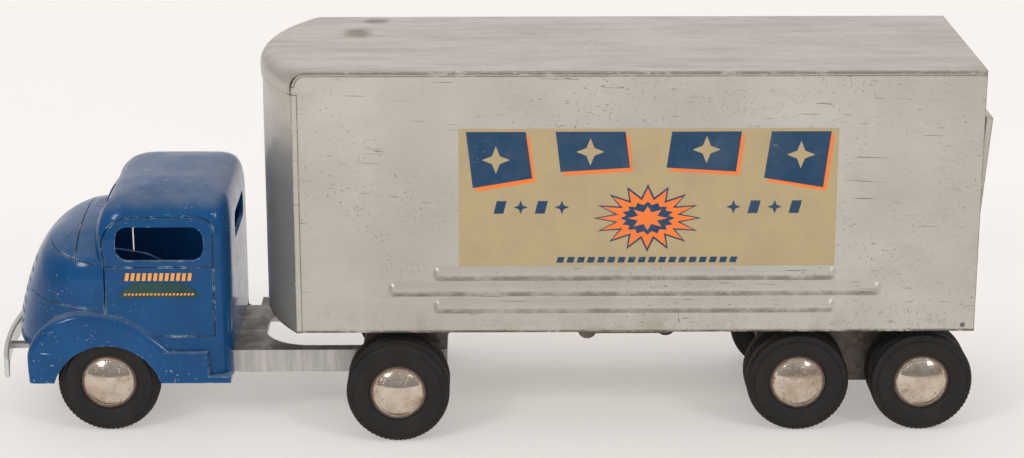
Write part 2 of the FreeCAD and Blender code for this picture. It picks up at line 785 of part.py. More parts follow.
# Outlines in X and Z, written as in outline(): the outer and inner edges of the line round a door.
DOOR_EDGE = ((-181, 62), (-113, 62), (-113, 126, -114.5, 134.5), (-121, 138),
             (-162, 138, -175, 134), (-181, 112))
DOOR_INSIDE = ((-180.2, 62.8), (-113.8, 62.8), (-113.8, 126, -115.2, 133.8), (-121, 137.2),
               (-162, 137.2, -174.3, 133.4), (-180.2, 112))
DOOR_BELT = (106.6, 107.4)

# The roof's sections: (height, front, how far the back is ahead of the cab's back, half width).
ROOF_SECTIONS = (
    (30, -178, 0, 68), (60, -180, 0, 68), (90, -184, 0, 68), (110, -188, 0, 67.8),
    (122, -188.5, 0, 67.2), (130, -187, 0, 66), (138, -184, 0.8, 64),
    (144, -180, 2.5, 60.5), (148.5, -173.5, 6, 54), (151.5, -163, 12, 43), (153.3, -148, 20, 23))


def level_row(height, front, middle, back, half, front_power, back_power):
    """Poles of a closed level curve: a superellipse ahead of its widest station, another behind."""
    poles = []
    for i in range(ROW_POLES):
        turn = 2 * math.pi * i / ROW_POLES
        along, across = math.cos(turn), math.sin(turn)
        power = 2.0 / (back_power if along > 0 else front_power)
        reach = back - middle if along > 0 else middle - front
        x = middle + math.copysign(reach * abs(along) ** power, along)
        poles.append(vector(x, math.copysign(half * abs(across) ** power, across), height))
    return poles


def skin(rows):
    """A solid whose side is one cubic surface over the rows of poles, closed flat below and above."""
    count = len(rows)
    poles = [[row[i] for row in rows] for i in range(ROW_POLES)]
    surface = Part.BSplineSurface()
    around = list(range(ROW_POLES + 1))
    upward = list(range(count - 2))
    surface.buildFromPolesMultsKnots(poles, [1] * len(around), [4] + [1] * (count - 4) + [4],
                                     around, upward, True, False, 3, 3)
    side = surface.toShape()
    rims = [edge for edge in side.Edges if edge.BoundBox.ZLength < 1e-6]
    caps = [Part.Face(Part.Wire(edge)) for edge in rims]
    solid = Part.Solid(Part.Shell([side] + caps))
    solid.fix(1e-5, 1e-5, 1e-3)
    return solid if solid.Volume > 0 else solid.reversed()


def hood_loft(inset):
    """The rounded hood and nose, drawn in by inset all round."""
    rows = []
    for height, front, half in HOOD_SECTIONS:
        level = height - inset if height > 100 else height
        front = min(front + inset, -187.0)
        rows.append(level_row(level, front, -184.0, -150.0, half - inset, 2.5, 7.0))
    return skin(rows)


def roof_loft(inset):
    """The cab behind the windshield, drawn in by inset all round."""
    rows = []
    for height, front, ahead, half in ROOF_SECTIONS:
        level = height - inset if height > 125 else height
        back = D.cab_back.value - ahead
        middle = 0.5 * (front + back)
        rows.append(level_row(level, front + inset, middle, back - inset, half - inset, 8.0, 8.0))
    return skin(rows)


def plate_xz(points, y0, y1):
    """A prism between two Y stations, from an outline in X and Z. Arcs are written as in outline()."""
    edges = []
    for i, here in enumerate(points):
        start = vector(here[0], y0, here[1])
        after = points[(i + 1) % len(points)]
        end = vector(after[0], y0, after[1])
        if len(here) == 4:
            edges.append(Part.Arc(start, vector(here[2], y0, here[3]), end).toShape())
        else:
            edges.append(Part.makeLine(start, end))
    return Part.Face(Part.Wire(edges)).extrude(vector(0, y1 - y0, 0))


def mirrored(shape):
    return shape.mirror(vector(0), vector(0, 1, 0))


def fender():
    """The left fender with its running board, rounded along its outer edge."""
    face = D.fender_face_y.value
    low = D.cab_bottom.value
    step = 52.5
    sill = 37.0
    points = [(-229, low), (-230, 52, -216, 71.5), (-186, 78), (-172, 75.5, -155.5, 66.5), (-139, step),
              (-118, step), (-118, sill), (-104, sill), (-104, low)]
    solid = plate_xz(points, -face, -62.0)
    outer = []
    for edge in solid.Edges:
        box = edge.BoundBox
        if box.YMax < 0.5 - face and box.ZMax > step + 0.5:
            outer.append(edge)
    return solid.makeFillet(FENDER_ROUND, outer)


def rounded_window(x0, z0, x1, z1, radius):
    """Outline of a window in X and Z with round corners."""
    cut = radius * (1 - math.sqrt(0.5))
    return [(x0 + radius, z0), (x1 - radius, z0, x1 - cut, z0 + cut), (x1, z0 + radius),
            (x1, z1 - radius, x1 - cut, z1 - cut), (x1 - radius, z1), (x0 + radius, z1, x0 + cut, z1 - cut),
            (x0, z1 - radius), (x0, z0 + radius, x0 + cut, z0 + cut)]


def slanted_slab(z_at_door, rise, thick):
    """A thin slab that climbs towards the nose, for a line along the hood's side."""
    start, end = -186.0, -260.0
    top = z_at_door + rise * (start - end)
    points = [(start, z_at_door), (end, top), (end, top + thick), (start, z_at_door + thick)]
    return plate_xz(points, -90.0, 90.0)


def cab_lines(hood_skin, roof_skin):
    """Everything engraved in the cab's outer face: grille slots, hood lines and door lines."""
    cutters = []
    slot_bottom, slot_pitch, slot_height, slot_half = 54.0, 6.4, 2.6, 38.0
    behind = hood_loft(1.7)
    for i in range(8):
        half = slot_half - i
        corner = vector(-255, -half, slot_bottom + slot_pitch * i)
        cutters.append(Part.makeBox(40, 2 * half, slot_height, corner).cut(behind))
    for slab in (slanted_slab(107.0, 0.2, 0.8), slanted_slab(79.5, 0.1, 0.8)):
        cutters.append(slab.cut(hood_skin))
    cutters.append(Part.makeBox(0.9, 160, 26, vector(-199, -80, 108)).cut(hood_skin))
    frame = plate_xz(DOOR_EDGE, -90, 90).cut(plate_xz(DOOR_INSIDE, -91, 91))
    front, rear = DOOR_EDGE[0][0], DOOR_EDGE[1][0]
    low, high = DOOR_BELT
    belt = plate_xz([(front, low), (rear, low), (rear, high), (front, high)], -90, 90)
    cutters.append(frame.fuse(belt).cut(roof_skin))
    return cutters


def cab_openings():
    """Windows, wheel wells, wheel arches, and the clearances for frame and bumper arms."""
    low = D.cab_bottom.value
    axle_x = D.front_axle_x.value
    side = plate_xz(rounded_window(-173, 111, -119, 132, 7.5), -90, 90)
    cutters = [side]
    for y in (-49, 4):
        pane = Part.makeBox(40, 45, 13.5, vector(-205, y, 130.5))
        corners = [edge for edge in pane.Edges if edge.BoundBox.XLength > 30]
        cutters.append(pane.makeFillet(4.0, corners))
    rear = Part.makeBox(14, 56, 17, vector(-112, -28, 113))
    cutters.append(rear.makeFillet(6.0, [edge for edge in rear.Edges if edge.BoundBox.XLength > 10]))
    across = vector(0, 1, 0)
    for y in (-69.6, 50.5):
        cutters.append(Part.makeCylinder(34.0, 19.1, vector(axle_x, y, D.axle_height.value), across))
    cutters.append(Part.makeCylinder(34.5, 160.0, vector(axle_x, -80, 22.9), across))
    cutters.append(Part.makeBox(30, 92, 20.0, vector(-252, -46, low - 3)))
    cutters.append(Part.makeBox(16, 106.6, D.frame_top.value - low + 3.2, vector(-112, -53.3, low - 3)))
    return cutters


def cab_casting():
    """Hollow casting with hood, grille, fenders and window openings, open underneath."""
    low = D.cab_bottom.value
    wall = D.cab_wall.value
    reach = D.cab_half_width.value - 2.0
    depth = 0.7
    outer = roof_loft(0).fuse(hood_loft(0))
    inner = roof_loft(wall).fuse(hood_loft(wall))
    shell = outer.cut(inner)
    for cutter in cab_lines(hood_loft(depth), roof_loft(depth)):
        shell = shell.cut(cutter)
    left = fender()
    shell = shell.fuse([left, mirrored(left)])
    for x in CROSS_BARS:
        shell = shell.fuse(Part.makeBox(12, 2 * reach, 4, vector(x, -reach, D.frame_top.value)))
    below = Part.makeBox(200, 200, 20, vector(-280, -100, low - 20))
    for cutter in [below] + cab_openings():
        shell = shell.cut(cutter)
    start = D.frame_top.value - 2.0
    for x, y in SCREW_SPOTS:
        for side in (-1, 1):
            shell = shell.cut(Part.makeCylinder(SCREW_RADIUS, 8, vector(x, y * side, start)))
    biggest = max(shell.Solids, key=lambda solid: solid.Volume)
    new_feature("cab_casting", biggest)


def build():
    cab_casting()
    cab_screws()
    front_bumper()
    bumper_brackets()
    chassis_frame()
    rear_axle_bracket()
    fifth_wheel_plate()
    kingpin()
    roof_panel()
    side_panel("left_side_panel", -1)
    side_panel("right_side_panel", 1)
    nose_panel()
    floor_panel()
    rear_header()
    latch_button()
    tailgate()
    tailgate_hinge_pin()
    coupler_plate()
    bogie_frame()
    trailer_rivets()
    landing_bracket()
    landing_pivot_pin()
    landing_legs()
    landing_axle()
    landing_wheel("landing_left_wheel", -1)
    landing_wheel("landing_right_wheel", 1)
    axle("front_axle", D.front_face_y, D.front_axle_x)
    axle("drive_axle", D.drive_face_y, dim(0.0))
    axle("bogie_front_axle", D.bogie_face_y, D.bogie_front_x)
    axle("bogie_rear_axle", D.bogie_face_y, D.bogie_rear_x)
    wheel_set("front", D.front_axle_x, D.front_face_y, 0)
    wheel_set("drive", dim(0.0), D.drive_face_y, 1)
    wheel_set("bogie_front", D.bogie_front_x, D.bogie_face_y, 1)
    wheel_set("bogie_rear", D.bogie_rear_x, D.bogie_face_y, 1)
    DOC.recompute()


def check_and_write():
    """Stops on any failed object or unsound shape, then writes one STEP file per sub-part."""
    for item in DOC.Objects:
        if "Invalid" in item.State or "Error" in item.State:
            raise RuntimeError(f"{item.Name} failed: {item.State}")
    for item in SUB_PARTS:
        if item.Shape.isNull() or not item.Shape.isValid() or item.Shape.Volume <= 0:
            raise RuntimeError(f"{item.Label} has no sound shape")
    os.makedirs("parts", exist_ok=True)
    for item in SUB_PARTS:
        item.Shape.exportStep(f"parts/{item.Label}.step")
    whole = FreeCAD.BoundBox()
    for item in SUB_PARTS:
        whole.add(item.Shape.BoundBox)
    print(len(SUB_PARTS), "sub-parts", whole)


build()
check_and_write()
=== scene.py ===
import json
import math

import bmesh
import bpy
from mathutils import Matrix, Vector


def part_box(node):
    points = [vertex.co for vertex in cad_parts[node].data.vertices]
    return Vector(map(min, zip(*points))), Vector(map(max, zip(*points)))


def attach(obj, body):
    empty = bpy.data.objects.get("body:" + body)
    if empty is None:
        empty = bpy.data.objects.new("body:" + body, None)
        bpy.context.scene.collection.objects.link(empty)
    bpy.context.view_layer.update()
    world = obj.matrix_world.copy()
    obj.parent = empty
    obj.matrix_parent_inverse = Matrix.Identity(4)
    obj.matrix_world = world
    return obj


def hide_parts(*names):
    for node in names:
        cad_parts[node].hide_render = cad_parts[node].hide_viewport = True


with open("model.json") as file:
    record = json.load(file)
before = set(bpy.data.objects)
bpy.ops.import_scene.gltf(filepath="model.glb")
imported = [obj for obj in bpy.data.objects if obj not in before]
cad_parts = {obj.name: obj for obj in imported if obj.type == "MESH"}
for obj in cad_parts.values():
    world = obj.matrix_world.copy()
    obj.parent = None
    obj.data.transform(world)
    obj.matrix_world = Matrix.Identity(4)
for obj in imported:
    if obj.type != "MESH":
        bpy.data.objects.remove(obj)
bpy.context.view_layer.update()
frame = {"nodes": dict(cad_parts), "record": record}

MM = 0.001
MERGE = 1e-6
NODES = frame["nodes"]


def centre_of(node):
    """The middle of a CAD node's box at rest."""
    low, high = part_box(node)
    return (low + high) / 2


# ---------------------------------------------------------------- materials

# Directions that scratches run in, each an Euler turn from +X.
SCRATCH_LEANS = (
    (0.0, 0.06, 0.03), (0.0, 0.45, 0.35), (0.0, -0.62, -0.5), (0.0, 1.35, 0.2), (0.0, -0.15, -0.12))
# Brown spills on the van's roof: X and Y of the middle, and half sizes along both, in metres.
SPILLS = ((-0.0806, 0.030, 0.012, 0.017), (-0.0704, 0.065, 0.010, 0.010))


class Shader:
    """One material: a Principled shader, with short calls for the nodes that feed it."""

    def __init__(self, name):
        self.material = bpy.data.materials.new(name)
        self.material.use_nodes = True
        self.tree = self.material.node_tree
        self.bsdf = self.tree.nodes["Principled BSDF"]
        self.coords = self.node("TexCoord")

    def node(self, kind, **settings):
        made = self.tree.nodes.new("ShaderNode" + kind)
        for key, value in settings.items():
            setattr(made, key, value)
        return made

    def feed(self, socket, value):
        """Links a socket, or sets it when the value is plain."""
        if isinstance(value, bpy.types.NodeSocket):
            self.tree.links.new(value, socket)
        elif isinstance(value, tuple) and len(value) == 3 and socket.type == "RGBA":
            socket.default_value = (*value, 1.0)
        else:
            socket.default_value = value

    def fixed(self, **values):
        """Sets the shader's own sockets to constants."""
        for name, value in values.items():
            self.bsdf.inputs[name.replace("_", " ")].default_value = value

    def place(self, scale=(1, 1, 1), move=(0, 0, 0)):
        """Object coordinates in metres, scaled and then moved."""
        mapping = self.node("Mapping")
        self.feed(mapping.inputs["Vector"], self.coords.outputs["Object"])
        mapping.inputs["Scale"].default_value = scale
        mapping.inputs["Location"].default_value = move
        return mapping.outputs[0]

    def noise(self, scale, detail=4.0, roughness=0.6, where=None, bend=0.0):
        made = self.node("TexNoise")
        self.feed(made.inputs["Vector"], where or self.coords.outputs["Object"])
        settings = {"Scale": scale, "Detail": detail, "Roughness": roughness, "Distortion": bend}
        for name, value in settings.items():
            made.inputs[name].default_value = value
        return made.outputs[0]

    def cells(self, scale):
        """Distance to the middle of the nearest of many random cells."""
        made = self.node("TexVoronoi", feature="F1")
        self.feed(made.inputs["Vector"], self.coords.outputs["Object"])
        made.inputs["Scale"].default_value = scale
        return made.outputs["Distance"]

    def calc(self, kind, a, b):
        """One sum of two values, such as ADD or MULTIPLY."""
        made = self.node("Math", operation=kind)
        self.feed(made.inputs[0], a)
        self.feed(made.inputs[1], b)
        return made.outputs[0]

    def scaled(self, value, gain, base):
        """The value times gain, plus base."""
        made = self.node("Math", operation="MULTIPLY_ADD")
        self.feed(made.inputs[0], value)
        made.inputs[1].default_value = gain
        made.inputs[2].default_value = base
        return made.outputs[0]

    def step(self, value, start, end):
        """0 below start, 1 above end, smooth between; the other way round where start is above end."""
        made = self.node("MapRange", interpolation_type="SMOOTHSTEP")
        self.feed(made.inputs["Value"], value)
        low, high = min(start, end), max(start, end)
        made.inputs["From Min"].default_value = low
        made.inputs["From Max"].default_value = high
        made.inputs["To Min"].default_value = 0.0 if start < end else 1.0
        made.inputs["To Max"].default_value = 1.0 if start < end else 0.0
        return made.outputs[0]

    def blend(self, amount, a, b):
        made = self.node("Mix", data_type="RGBA")
        self.feed(made.inputs["Factor"], amount)
        self.feed(made.inputs[6], a)
        self.feed(made.inputs[7], b)
        return made.outputs[2]

    def part(self, axis):
        """One object coordinate, in metres."""
        made = self.node("SeparateXYZ")
        self.feed(made.inputs[0], self.coords.outputs["Object"])
        return made.outputs[axis]

    def facing(self, axis):
        """How far the surface faces along one axis of its object, from -1 to 1."""
        made = self.node("SeparateXYZ")
        self.feed(made.inputs[0], self.coords.outputs["Normal"])
        return made.outputs[axis]

    def edge(self, radius):
        """Near 1 on sharp edges and 0 on flat faces."""
        bevel = self.node("Bevel", samples=6)
        bevel.inputs["Radius"].default_value = radius
        geometry = self.node("NewGeometry")
        dot = self.node("VectorMath", operation="DOT_PRODUCT")
        self.feed(dot.inputs[0], bevel.outputs[0])
        self.feed(dot.inputs[1], geometry.outputs["Normal"])
        return self.step(dot.outputs["Value"], 0.99, 0.80)

    def crevice(self, distance):
        """Near 1 in grooves and corners, and 0 on open faces."""
        made = self.node("AmbientOcclusion", samples=8, only_local=True)
        made.inputs["Distance"].default_value = distance
        return self.step(made.outputs["AO"], 0.8, 0.35)

    def stain(self, x, y, across, deep):
        """Near 1 inside a ragged oval seen from above; place and half sizes in metres."""
        where = self.place(scale=(1 / across, 1 / deep, 0), move=(-x / across, -y / deep, 0))
        length = self.node("VectorMath", operation="LENGTH")
        self.feed(length.inputs[0], where)
        ragged = self.calc("ADD", length.outputs["Value"], self.noise(110.0, 5.0, 0.75))
        return self.step(ragged, 1.65, 0.75)

    def strokes(self, lean, length, fineness, rarity, seed):
        """Short thin strokes along one direction. lean is that direction's turn from +X, as an Euler."""
        mapping = self.node("Mapping", vector_type="TEXTURE")
        self.feed(mapping.inputs["Vector"], self.coords.outputs["Object"])
        mapping.inputs["Rotation"].default_value = lean
        mapping.inputs["Scale"].default_value = (length, 1.0, 1.0)
        mapping.inputs["Location"].default_value = (seed, seed * 0.7, seed * 1.3)
        grain = self.noise(fineness, 1.5, 0.5, mapping.outputs[0])
        return self.step(grain, rarity, rarity + 0.035)

    def scratches(self, fineness, rarity, seed):
        """Scratches in five directions, in patches."""
        found = None
        for i, lean in enumerate(SCRATCH_LEANS):
            length = 10.0 + 9.0 * (i % 3)
            made = self.strokes(lean, length, fineness * (1.0 + 0.15 * i), rarity + 0.010 * (i % 2), seed + i)
            found = made if found is None else self.calc("MAXIMUM", found, made)
        patches = self.noise(9.0, 3.0, 0.6, self.place(move=(seed, 0.5, 0.2)))
        return self.calc("MULTIPLY", found, self.step(patches, 0.38, 0.62))

    def bump(self, height, depth, strength=1.0):
        made = self.node("Bump")
        made.inputs["Strength"].default_value = strength
        made.inputs["Distance"].default_value = depth
        self.feed(made.inputs["Height"], height)
        self.feed(self.bsdf.inputs["Normal"], made.outputs[0])

    def finish(self, color, roughness, metallic=None):
        self.feed(self.bsdf.inputs["Base Color"], color)
        self.feed(self.bsdf.inputs["Roughness"], roughness)
        if metallic is not None:
            self.feed(self.bsdf.inputs["Metallic"], metallic)
        return self.material


def cab_paint():
    """Deep blue gloss enamel, chipped to pale primer on its edges, with old polish in the grooves, and greyed
    on upward faces by dust and a painted sheen.
    """
    s = Shader("cab_blue_enamel")
    s.fixed(Coat_Weight=0.22, Coat_Roughness=0.06, Specular_IOR_Level=0.15)
    cloud = s.noise(30.0, 5.0)
    blue = s.blend(s.step(cloud, 0.35, 0.7), (0.0036, 0.052, 0.152), (0.0052, 0.066, 0.190))
    fine = s.noise(900.0, 4.0, 0.7)
    patches = s.step(s.noise(95.0, 5.0, 0.75), 0.50, 0.62)
    edge = s.calc("MULTIPLY", s.edge(0.0010), patches)
    specks = s.calc("MULTIPLY", s.step(s.cells(330.0), 0.17, 0.09), s.step(s.noise(42.0, 3.0), 0.57, 0.66))
    low = s.calc("MULTIPLY", s.step(s.cells(420.0), 0.24, 0.14), s.step(s.part(2), 0.062, 0.036))
    low = s.calc("MULTIPLY", low, s.step(s.noise(80.0, 4.0), 0.50, 0.60))
    nicks = s.scratches(640.0, 0.745, 3.0)
    chips = s.calc("MAXIMUM", s.calc("MAXIMUM", edge, low), s.calc("MAXIMUM", specks, nicks))
    grime = s.calc("MULTIPLY", s.crevice(0.0020), s.step(fine, 0.30, 0.62))
    brown = s.blend(s.step(s.noise(160.0, 4.0), 0.42, 0.62), (0.012, 0.012, 0.011), (0.060, 0.040, 0.018))
    # Dust and painted sheen: upward faces are greyed, partly as dust and partly as the pale sheen of the
    # light above.
    up = s.step(s.facing(2), 0.45, 0.97)
    dust_and_sheen = s.calc("MULTIPLY", up, s.step(s.noise(36.0, 6.0, 0.7), 0.15, 0.75))
    # This blue also carries the dust and painted sheen on upward faces and the old polish in the grooves.
    worn = s.blend(grime, s.blend(s.calc("MULTIPLY", dust_and_sheen, 0.48), blue, (0.200, 0.215, 0.235)), brown)
    pale = s.blend(s.step(s.noise(300.0), 0.4, 0.6), (0.58, 0.56, 0.50), (0.13, 0.30, 0.45))
    color = s.blend(s.calc("MULTIPLY", chips, 0.85), worn, pale)
    haze = s.step(s.noise(60.0, 6.0, 0.7), 0.3, 0.8)
    s.bump(s.calc("SUBTRACT", s.calc("MULTIPLY", fine, 0.10), chips), 0.00012, 0.5)
    rough = s.calc("ADD", s.scaled(haze, 0.12, 0.16), s.calc("MULTIPLY", up, 0.10))
    return s.finish(color, rough)


def van_paint(name, edges):
    """Satin silver-grey paint with scratches, specks, brown stains on the roof and, if asked, worn edges with
    painted shade in corners and grooves. Painted shade mixed with dirt darkens downward faces, and a painted
    reflection of the cab darkens the low forward faces.
    """
    s = Shader(name)
    s.fixed(Metallic=0.42, Specular_IOR_Level=0.40, Coat_Weight=0.08, Coat_Roughness=0.2)
    cloud = s.noise(9.0, 6.0, 0.6)
    grey = s.blend(s.step(cloud, 0.3, 0.7), (0.415, 0.390, 0.345), (0.500, 0.475, 0.425))
    drift = s.noise(26.0, 6.0, 0.7, s.place(scale=(1.0, 1, 2.4)))
    grey = s.blend(s.calc("MULTIPLY", s.step(drift, 0.45, 0.8), 0.40), grey, (0.360, 0.335, 0.285))
    up = s.step(s.facing(2), 0.4, 0.9)
    streak = s.noise(40.0, 7.0, 0.72, s.place(scale=(0.35, 1.6, 1)))
    roof = s.blend(s.step(streak, 0.35, 0.70), (0.520, 0.490, 0.450), (0.390, 0.355, 0.315))
    color = s.blend(up, grey, roof)
    blot = s.noise(21.0, 5.0, 0.65, s.place(scale=(0.8, 1.4, 1), move=(0.31, 0.12, 0)))
    spills = s.calc("MAXIMUM", *(s.stain(*spill) for spill in SPILLS))
    blots = s.calc("MULTIPLY", s.calc("MAXIMUM", s.step(blot, 0.66, 0.76), spills), up)
    color = s.blend(s.calc("MULTIPLY", blots, 0.75), color, (0.130, 0.092, 0.055))
    hairs = s.scratches(820.0, 0.712, 1.0)
    long_cuts = s.strokes((0.0, 0.035, 0.02), 110.0, 900.0, 0.715, 8.0)
    long_cuts = s.calc("MULTIPLY", long_cuts, s.step(cloud, 0.38, 0.50))
    lines = s.calc("MAXIMUM", hairs, long_cuts)
    color = s.blend(s.calc("MULTIPLY", lines, 0.80), color, (0.105, 0.080, 0.055))
    crowd = s.step(s.noise(24.0, 5.0, 0.7), 0.52, 0.66)
    specks = s.calc("MULTIPLY", s.step(s.cells(430.0), 0.26, 0.15), crowd)
    pits = s.calc("MULTIPLY", s.step(s.cells(190.0), 0.12, 0.07), s.step(s.noise(31.0, 4.0), 0.58, 0.66))
    spots = s.calc("MAXIMUM", s.calc("MULTIPLY", specks, 0.55), pits)
    color = s.blend(s.calc("MULTIPLY", spots, 0.85), color, (0.120, 0.072, 0.040))
    chipped = s.noise(150.0, 6.0, 0.8, s.place(scale=(0.4, 1, 0.7)))
    if edges:
        worn = s.calc("MULTIPLY", s.edge(0.0014), s.step(chipped, 0.38, 0.50))
        color = s.blend(worn, color, (0.070, 0.045, 0.028))
        # Painted shade: corners and grooves are darkened toward brown, where shade falls.
        color = s.blend(s.calc("MULTIPLY", s.crevice(0.0035), 0.50), color, (0.085, 0.066, 0.045))
    # Painted reflection: faces that look forward, low on the van's front, are darkened toward grey as the
    # dark cab's reflection.
    painted_cab_reflection = s.calc("MULTIPLY", s.step(s.facing(0), -0.20, -0.70), s.step(s.part(2), 0.208, 0.180))
    color = s.blend(s.calc("MULTIPLY", painted_cab_reflection, 0.45), color, (0.110, 0.112, 0.112))
    hem = s.calc("MULTIPLY", s.step(s.part(2), 0.0700, 0.0688), s.step(chipped, 0.34, 0.56))
    color = s.blend(s.calc("MULTIPLY", hem, 0.85), color, (0.060, 0.042, 0.030))
    soot = s.calc("MULTIPLY", s.step(s.part(2), 0.092, 0.066), s.step(s.noise(35.0, 6.0, 0.7), 0.42, 0.70))
    color = s.blend(s.calc("MULTIPLY", soot, 0.50), color, (0.210, 0.175, 0.125))
    # Painted shade mixed with dirt: faces that look downward, such as the lower halves of the ribs, are
    # darkened toward brown in patches.
    under = s.step(s.facing(2), -0.10, -0.45)
    under = s.calc("MULTIPLY", under, s.step(s.noise(48.0, 6.0, 0.75), 0.36, 0.62))
    color = s.blend(s.calc("MULTIPLY", under, 0.70), color, (0.170, 0.145, 0.110))
    orange_peel = s.noise(700.0, 3.0, 0.6)
    dents = s.noise(14.0, 2.0, 0.5)
    height = s.calc("ADD", s.calc("MULTIPLY", orange_peel, 0.05), s.calc("MULTIPLY", dents, 1.4))
    s.bump(s.calc("SUBTRACT", height, s.calc("MULTIPLY", s.calc("ADD", lines, spots), 0.30)), 0.0006, 0.5)
    return s.finish(color, s.scaled(s.step(drift, 0.2, 0.8), 0.14, 0.27))


def cast_metal(name, light, dark, shine):
    """Bare cast aluminium: the rails' sides are bright, the top is stained brown-grey, and painted shade
    darkens corners and grooves.
    """
    s = Shader(name)
    s.fixed(Metallic=0.85)
    grain = s.noise(500.0, 6.0, 0.75)
    cloud = s.noise(55.0, 7.0, 0.7, bend=0.6)
    stained = s.blend(s.step(cloud, 0.35, 0.68), dark, tuple(0.5 * (a + b) for a, b in zip(light, dark)))
    drawn = s.noise(45.0, 5.0, 0.7, s.place(scale=(5, 1, 0.5)))
    bright = s.blend(s.step(drawn, 0.3, 0.75), tuple(0.72 * c for c in light), light)
    color = s.blend(s.step(s.facing(2), 0.3, 0.8), bright, stained)
    spots = s.calc("MULTIPLY", s.step(s.cells(160.0), 0.16, 0.08), s.step(s.noise(40.0), 0.5, 0.62))
    color = s.blend(s.calc("MULTIPLY", spots, 0.7), color, (0.05, 0.04, 0.03))
    # Painted shade: corners and grooves are darkened nearly to black.
    color = s.blend(s.calc("MULTIPLY", s.crevice(0.003), 0.8), color, (0.04, 0.033, 0.027))
    s.bump(s.calc("SUBTRACT", grain, spots), 0.00025, 0.5)
    return s.finish(color, s.scaled(s.step(grain, 0.2, 0.9), shine, 0.30))


def bumper_polish():
    """Polished aluminium with fine brushing along its length and a few dark nicks."""
    s = Shader("bumper_polished_aluminium")
    s.fixed(Metallic=0.9, Anisotropic=0.4)
    brushed = s.noise(220.0, 5.0, 0.7, s.place(scale=(1, 0.15, 6)))
    color = s.blend(s.step(brushed, 0.3, 0.8), (0.62, 0.61, 0.58), (0.80, 0.79, 0.77))
    nicks = s.scratches(700.0, 0.72, 2.0)
    color = s.blend(nicks, color, (0.16, 0.14, 0.12))
    s.bump(s.calc("SUBTRACT", brushed, nicks), 0.00008, 0.4)
    return s.finish(color, s.scaled(brushed, 0.20, 0.16))


def dull_steel():
    """Dark, oily mild steel with light rust."""
    s = Shader("bare_steel_stained")
    s.fixed(Metallic=0.7)
    cloud = s.noise(60.0, 7.0, 0.72)
    rust = s.step(s.noise(130.0, 7.0, 0.8), 0.52, 0.66)
    color = s.blend(s.step(cloud, 0.35, 0.65), (0.085, 0.072, 0.060), (0.20, 0.17, 0.145))
    color = s.blend(s.calc("MULTIPLY", rust, 0.6), color, (0.12, 0.055, 0.025))
    s.bump(s.noise(600.0, 5.0, 0.7), 0.0002, 0.5)
    return s.finish(color, s.scaled(cloud, 0.30, 0.34))


def tyre_rubber():
    """Old black rubber: a dry grey bloom, dusty tread edges and fine scuffs."""
    s = Shader("tyre_black_rubber")
    s.fixed(Specular_IOR_Level=0.28)
    cloud = s.noise(70.0, 6.0, 0.7)
    color = s.blend(s.step(cloud, 0.35, 0.75), (0.0100, 0.0090, 0.0080), (0.0160, 0.0145, 0.0130))
    dust = s.calc("MULTIPLY", s.edge(0.0007), s.step(s.noise(240.0, 5.0, 0.75), 0.38, 0.60))
    color = s.blend(s.calc("MULTIPLY", dust, 0.7), color, (0.13, 0.125, 0.115))
    scuffs = s.scratches(900.0, 0.70, 4.0)
    color = s.blend(s.calc("MULTIPLY", scuffs, 0.35), color, (0.09, 0.085, 0.08))
    s.bump(s.noise(1300.0, 4.0, 0.7), 0.00012, 0.45)
    return s.finish(color, s.scaled(cloud, 0.22, 0.46))


def hubcap_plate():
    """Bright plating with brown pits, worse towards the rusty rim. Its coordinates are the cap's own."""
    s = Shader("hubcap_bright_plating")
    mapped = s.node("CombineXYZ")
    s.feed(mapped.inputs[0], s.part(0))
    s.feed(mapped.inputs[1], s.part(2))
    length = s.node("VectorMath", operation="LENGTH")
    s.feed(length.inputs[0], mapped.outputs[0])
    outward = s.step(length.outputs["Value"], 0.0105, 0.0158)
    info = s.node("ObjectInfo")
    shift = s.node("VectorMath", operation="ADD")
    s.feed(shift.inputs[0], s.coords.outputs["Object"])
    s.feed(shift.inputs[1], info.outputs["Random"])
    where = shift.outputs[0]
    patch = s.noise(150.0, 5.0, 0.7, where)
    crowd = s.calc("ADD", patch, s.calc("MULTIPLY", outward, 0.09))
    fleck = s.noise(1150.0, 2.5, 0.55, where)
    pits = s.calc("MULTIPLY", s.step(fleck, 0.585, 0.64), s.step(crowd, 0.50, 0.60))
    freckle = s.step(s.noise(2300.0, 2.0, 0.5, where), 0.60, 0.68)
    freckle = s.calc("MULTIPLY", freckle, s.step(crowd, 0.42, 0.56))
    rust = s.calc("MULTIPLY", s.step(length.outputs["Value"], 0.0143, 0.0158),
                 s.step(s.noise(300.0, 5.0, 0.8, where), 0.34, 0.52))
    dull = s.step(s.noise(85.0, 4.0, 0.6, where), 0.40, 0.68)
    base = s.blend(dull, (0.66, 0.58, 0.49), (0.50, 0.40, 0.30))
    color = s.blend(s.calc("MULTIPLY", freckle, 0.60), base, (0.30, 0.18, 0.10))
    color = s.blend(s.calc("MULTIPLY", pits, 0.90), color, (0.135, 0.070, 0.035))
    color = s.blend(s.calc("MULTIPLY", rust, 0.90), color, (0.150, 0.062, 0.024))
    marks = s.calc("MAXIMUM", s.calc("MAXIMUM", pits, s.calc("MULTIPLY", freckle, 0.4)), rust)
    s.bump(s.calc("SUBTRACT", s.calc("MULTIPLY", patch, 0.20), marks), 0.00018, 0.55)
    rough = s.scaled(marks, 0.42, 0.09)
    metal = s.calc("SUBTRACT", 1.0, s.calc("MULTIPLY", marks, 0.75))
    return s.finish(color, s.calc("ADD", rough, s.calc("MULTIPLY", dull, 0.14)), metal)


